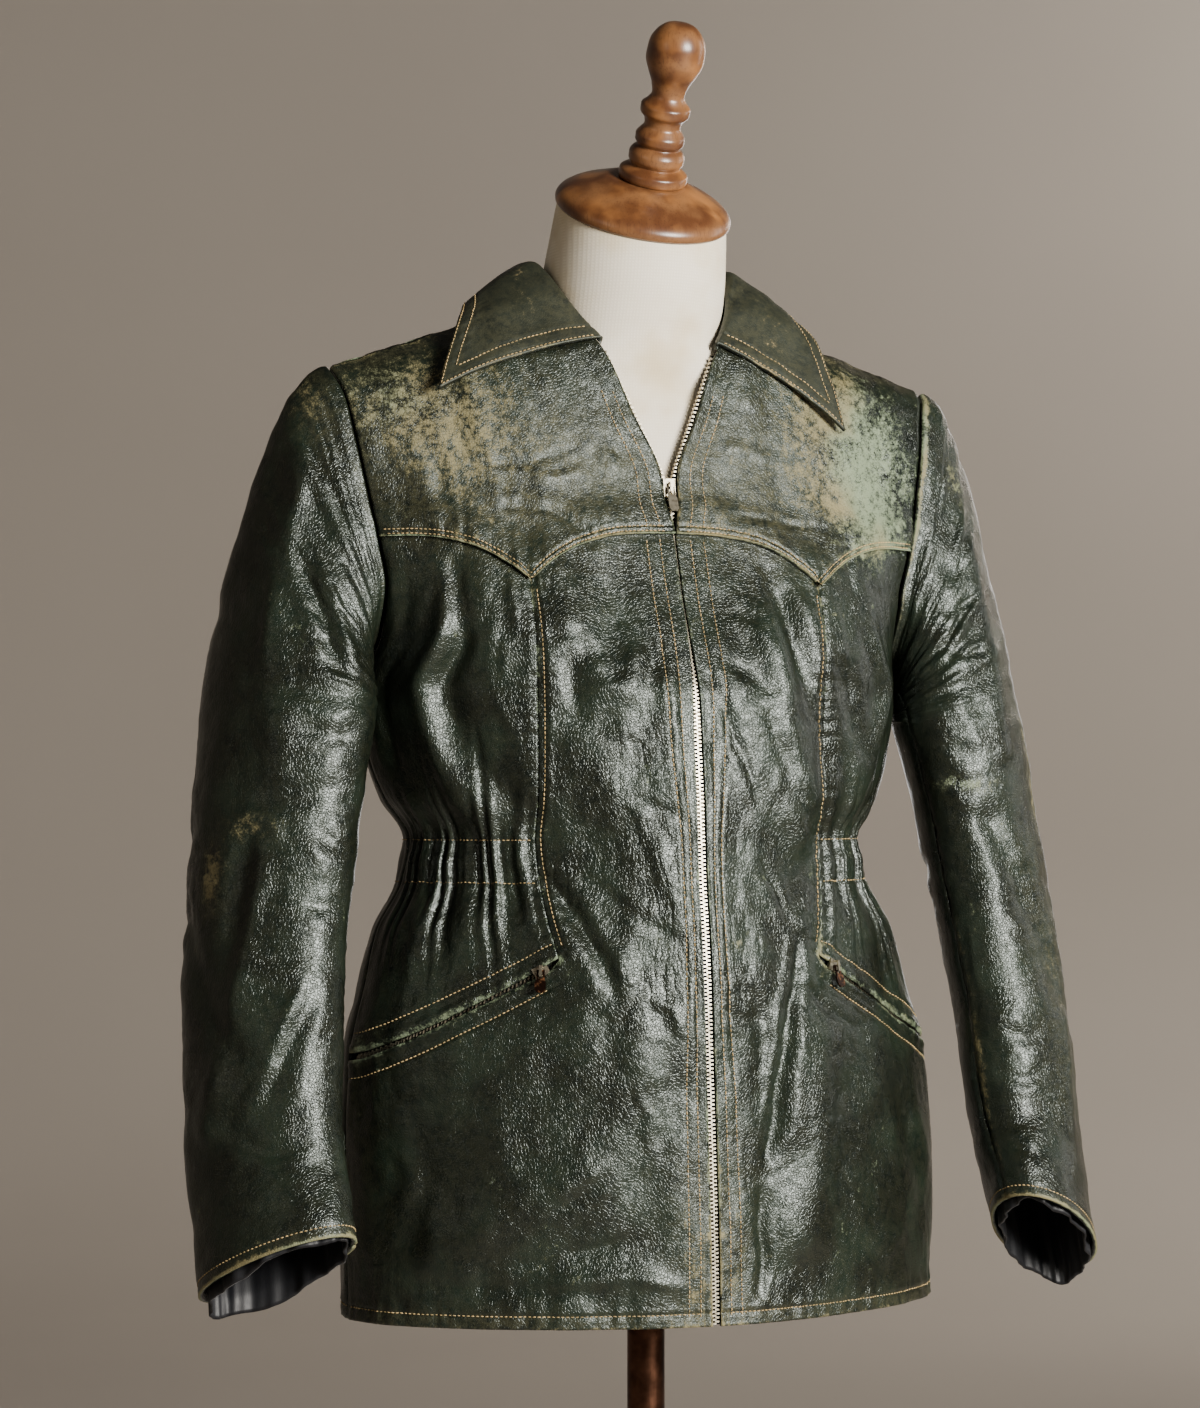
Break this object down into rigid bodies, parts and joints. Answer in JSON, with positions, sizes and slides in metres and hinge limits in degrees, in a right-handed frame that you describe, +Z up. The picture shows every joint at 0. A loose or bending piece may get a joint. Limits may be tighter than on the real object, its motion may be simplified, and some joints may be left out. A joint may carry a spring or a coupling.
{
  "type": "leather jacket on a dress form",
  "caption": "Hip-length zip leather jacket with scalloped front yokes, pointed collar, elastic-drawn waist and slanted zip pockets, worn by a limbless dress form on a pole and round base.",
  "frame": {"origin": "on the floor at the centre of the base's underside, under the pole", "axes": "+Z up along the pole; the jacket's front faces -Y, the wearer's left side is +X"},
  "size_m": [0.6188, 0.34, 1.5358],
  "materials": {
    "leather": "glossy worn dark green leather, rubbed pale on the shoulders and seams",
    "lining": "satin lining",
    "zip_metal": "worn bright zip metal",
    "zip_tape": "dark cotton tape with metal teeth",
    "brown_metal": "dark brown patinated tab",
    "canvas": "smooth cream cloth drawn over the form",
    "wood": "varnished walnut-brown turned wood",
    "pole_metal": "bronze-brown metal"
  },
  "bodies": {
    "jacket_on_form": {"back": "leather", "base": "pole_metal", "collar": "leather", "cuff_lining_left": "lining", "cuff_lining_right": "lining", "finial": "wood", "form_torso": "canvas", "front_left": "leather", "front_right": "leather", "neck_cap": "wood", "pocket_slider_left": "zip_metal", "pocket_slider_right": "zip_metal", "pocket_zip_left": "zip_tape", "pocket_zip_right": "zip_tape", "pole": "pole_metal", "side_front_left": "leather", "side_front_right": "leather", "top_sleeve_left": "leather", "top_sleeve_right": "leather", "under_sleeve_left": "leather", "under_sleeve_right": "leather", "yoke_left": "leather", "yoke_right": "leather", "zip_slider": "zip_metal", "zip_tape_left": "zip_tape", "zip_tape_right": "zip_tape"},
    "zip_pull_tab": {"zip_pull": "zip_metal"},
    "pocket_pull_left_tab": {"pocket_pull_left": "brown_metal"},
    "pocket_pull_right_tab": {"pocket_pull_right": "brown_metal"}
  },
  "joints": [
    {"name": "zip_pull_swing", "type": "hinge", "parent": "jacket_on_form", "child": "zip_pull_tab", "pos_m": [0, -0.04205, 1.23434], "axis": [-1, 0, 0], "range_deg": [0, 150]},
    {"name": "pocket_pull_left_swing", "type": "hinge", "parent": "jacket_on_form", "child": "pocket_pull_left_tab", "pos_m": [0.10223, -0.07414, 0.92666], "axis": [-0.8914, -0.4531, 0], "range_deg": [0, 150]},
    {"name": "pocket_pull_right_swing", "type": "hinge", "parent": "jacket_on_form", "child": "pocket_pull_right_tab", "pos_m": [-0.10151, -0.07414, 0.92666], "axis": [-0.8914, 0.4531, 0], "range_deg": [0, 150]}
  ]
}
